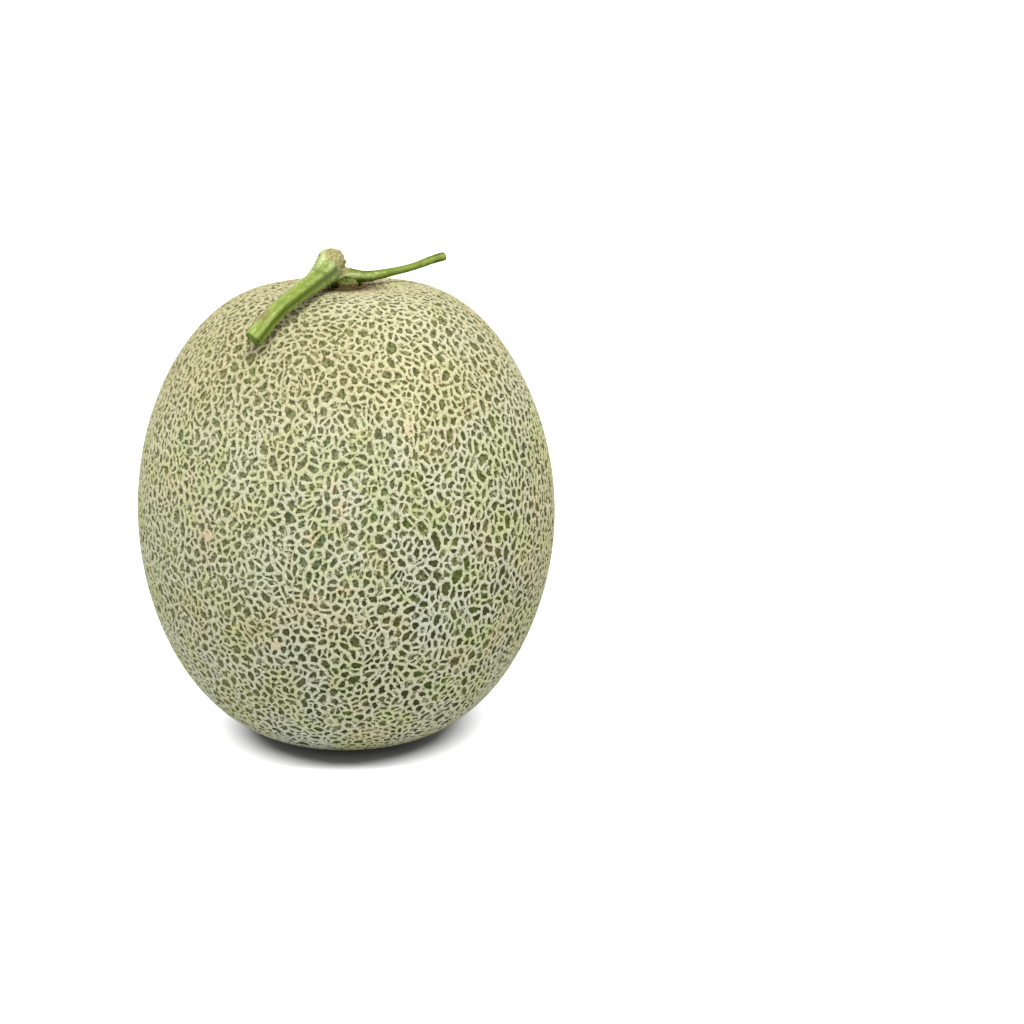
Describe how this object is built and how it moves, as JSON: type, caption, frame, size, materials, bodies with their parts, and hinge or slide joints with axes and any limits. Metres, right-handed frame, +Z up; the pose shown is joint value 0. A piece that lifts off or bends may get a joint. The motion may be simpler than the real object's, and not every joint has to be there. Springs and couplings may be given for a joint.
{
  "type": "cantaloupe melon",
  "caption": "Whole oval netted melon with a short T-shaped piece of vine, standing on a small flat spot at its blossom end.",
  "frame": {"origin": "middle of the flat resting spot at the blossom end, on the surface that the melon stands on", "axes": "+Z up along the melon's long axis to the stem, +X the viewer's right and -Y towards the viewer, with the thick end of the vine pointing to -X and -Y and the thin branch to +X"},
  "size_m": [0.1465, 0.1453, 0.1747],
  "materials": {
    "netted_rind": "grey-green rind under a raised, dry, cream cork net",
    "green_vine": "fresh green ribbed vine with fine hairs and a tan corky knob"
  },
  "bodies": {
    "root": {"fruit": "netted_rind", "stem": "green_vine"}
  },
  "joints": []
}
